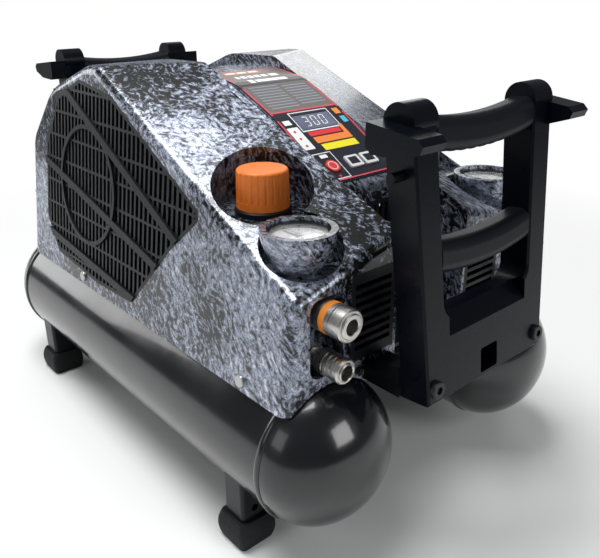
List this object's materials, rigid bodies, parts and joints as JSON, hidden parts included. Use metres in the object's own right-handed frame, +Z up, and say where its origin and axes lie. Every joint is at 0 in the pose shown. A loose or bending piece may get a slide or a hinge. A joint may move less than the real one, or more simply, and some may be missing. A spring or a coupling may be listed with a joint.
{
  "type": "portable air compressor",
  "caption": "Portable air compressor with side-by-side tanks under a mottled humped hood, control panel, regulator knobs in bowls, quick couplers and ladder-shaped handles at the ends.",
  "frame": {"origin": "centre of the footprint at floor level", "axes": "+Z up, +Y to the rear along the tanks, outlets and control panel face -Y, +X to the right seen from behind the machine looking to the rear"},
  "size_m": [0.346, 0.5828, 0.3482],
  "materials": {
    "tank_black": "satin black paint",
    "steel": "zinc plated",
    "leg_steel": "satin black paint",
    "rubber": "matt",
    "cover_pattern": "mottled black and silver film, semi-gloss",
    "black_plastic": "matt black",
    "grille_plastic": "matt black",
    "panel_film": "printed satin film",
    "display_black": "gloss window",
    "key_grey": "satin",
    "key_light": "satin",
    "lamp_lens": "gloss",
    "board_green": "solder mask",
    "cast_aluminium": "cast, satin",
    "orange_plastic": "satin orange",
    "grey_plastic": "satin dark grey",
    "dial_white": "printed white",
    "clear_lens": "clear",
    "needle_black": "matt black",
    "sleeve_steel": "plated, fine turned",
    "grip_rubber": "matt",
    "winding": "varnished windings and sheet stack",
    "copper_pipe": "bent tube",
    "brass": "machined",
    "capacitor_blue": "sleeved"
  },
  "bodies": {
    "base": {"air_pipes": "copper_pipe", "capacitors": "capacitor_blue", "chassis_deck": "steel", "control_board": "board_green", "control_panel": "panel_film", "cord_gland": "black_plastic", "coupler_bodies": "steel", "cover_left": "cover_pattern", "cover_right": "cover_pattern", "cover_screws": "steel", "crankcases": "cast_aluminium", "cylinder_heads": "cast_aluminium", "deck_brackets": "tank_black", "display_window": "display_black", "drain_valve": "brass", "end_bells": "cast_aluminium", "fan_shrouds": "black_plastic", "foot_legs": "leg_steel", "front_handle": "tank_black", "front_nose": "cover_pattern", "gauge_cases": "black_plastic", "gauge_dials": "dial_white", "gauge_lenses": "clear_lens", "handle_bolts": "steel", "head_bolts": "steel", "inverter": "cast_aluminium", "knob_collars": "black_plastic", "link_pipes": "steel", "lower_grips": "grip_rubber", "middle_cover": "cover_pattern", "motor_housing": "cast_aluminium", "outlet_manifolds": "cast_aluminium", "panel_lamps": "lamp_lens", "rear_handle": "tank_black", "rubber_feet": "rubber", "side_grilles": "grille_plastic", "stator": "winding", "tank_left": "tank_black", "tank_right": "tank_black", "tank_saddles": "tank_black", "upper_grips": "grip_rubber", "vent_panels": "black_plastic"},
    "left_regulator_knob": {"regulator_knob_left": "orange_plastic"},
    "right_regulator_knob": {"regulator_knob_right": "grey_plastic"},
    "left_needle": {"gauge_needle_left": "needle_black"},
    "right_needle": {"gauge_needle_right": "needle_black"},
    "power_button": {"power_key": "key_grey"},
    "pressure_button": {"pressure_key": "key_light"},
    "mode_button": {"mode_key": "key_light"},
    "upper_left_sleeve": {"sleeve_upper_left": "sleeve_steel"},
    "upper_right_sleeve": {"sleeve_upper_right": "sleeve_steel"},
    "lower_left_sleeve": {"sleeve_lower_left": "sleeve_steel"},
    "lower_right_sleeve": {"sleeve_lower_right": "sleeve_steel"},
    "rotor": {"motor_rotor": "steel"},
    "left_piston": {"piston_left": "cast_aluminium"},
    "right_piston": {"piston_right": "cast_aluminium"},
    "left_fan": {"fan_left": "black_plastic"},
    "right_fan": {"fan_right": "black_plastic"},
    "valve_knob": {"drain_knob": "orange_plastic"}
  },
  "joints": [
    {"name": "left_regulator_turn", "type": "hinge", "parent": "base", "child": "left_regulator_knob", "pos_m": [-0.092, -0.131, 0.27], "axis": [0, 0, 1], "range_deg": [-150, 150]},
    {"name": "right_regulator_turn", "type": "hinge", "parent": "base", "child": "right_regulator_knob", "pos_m": [0.092, -0.131, 0.27], "axis": [0, 0, 1], "range_deg": [-150, 150]},
    {"name": "left_needle_turn", "type": "hinge", "parent": "base", "child": "left_needle", "pos_m": [-0.111, -0.195, 0.2512], "axis": [0, 0, -1], "range_deg": [0, 250]},
    {"name": "right_needle_turn", "type": "hinge", "parent": "base", "child": "right_needle", "pos_m": [0.111, -0.195, 0.2512], "axis": [0, 0, -1], "range_deg": [0, 250]},
    {"name": "power_press", "type": "slide", "parent": "base", "child": "power_button", "axis": [0, 0.5161, -0.8565], "range_m": [0, 0.0008], "stiffness_N_per_m": 900},
    {"name": "pressure_press", "type": "slide", "parent": "base", "child": "pressure_button", "axis": [0, 0.5161, -0.8565], "range_m": [0, 0.0008], "stiffness_N_per_m": 900},
    {"name": "mode_press", "type": "slide", "parent": "base", "child": "mode_button", "axis": [0, 0.5161, -0.8565], "range_m": [0, 0.0008], "stiffness_N_per_m": 900},
    {"name": "upper_left_release", "type": "slide", "parent": "base", "child": "upper_left_sleeve", "axis": [0, 1, 0], "range_m": [0, 0.004], "stiffness_N_per_m": 1500},
    {"name": "upper_right_release", "type": "slide", "parent": "base", "child": "upper_right_sleeve", "axis": [0, 1, 0], "range_m": [0, 0.004], "stiffness_N_per_m": 1500},
    {"name": "lower_left_release", "type": "slide", "parent": "base", "child": "lower_left_sleeve", "axis": [0, 1, 0], "range_m": [0, 0.005], "stiffness_N_per_m": 1500},
    {"name": "lower_right_release", "type": "slide", "parent": "base", "child": "lower_right_sleeve", "axis": [0, 1, 0], "range_m": [0, 0.005], "stiffness_N_per_m": 1500},
    {"name": "rotor_spin", "type": "hinge", "parent": "base", "child": "rotor", "pos_m": [0, 0.08, 0.232], "axis": [1, 0, 0], "continuous": true},
    {"name": "left_piston_stroke", "type": "slide", "parent": "base", "child": "left_piston", "axis": [0, 1, 0], "range_m": [0, 0.02]},
    {"name": "right_piston_stroke", "type": "slide", "parent": "base", "child": "right_piston", "axis": [0, 1, 0], "range_m": [0, 0.02]},
    {"name": "left_fan_spin", "type": "hinge", "parent": "base", "child": "left_fan", "pos_m": [-0.1165, 0.081, 0.236], "axis": [1, 0, 0], "continuous": true},
    {"name": "right_fan_spin", "type": "hinge", "parent": "base", "child": "right_fan", "pos_m": [0.1165, 0.081, 0.236], "axis": [1, 0, 0], "continuous": true},
    {"name": "drain_turn", "type": "hinge", "parent": "base", "child": "valve_knob", "pos_m": [-0.122, 0.231, 0.192], "axis": [0, 1, 0], "range_deg": [0, 180]}
  ]
}
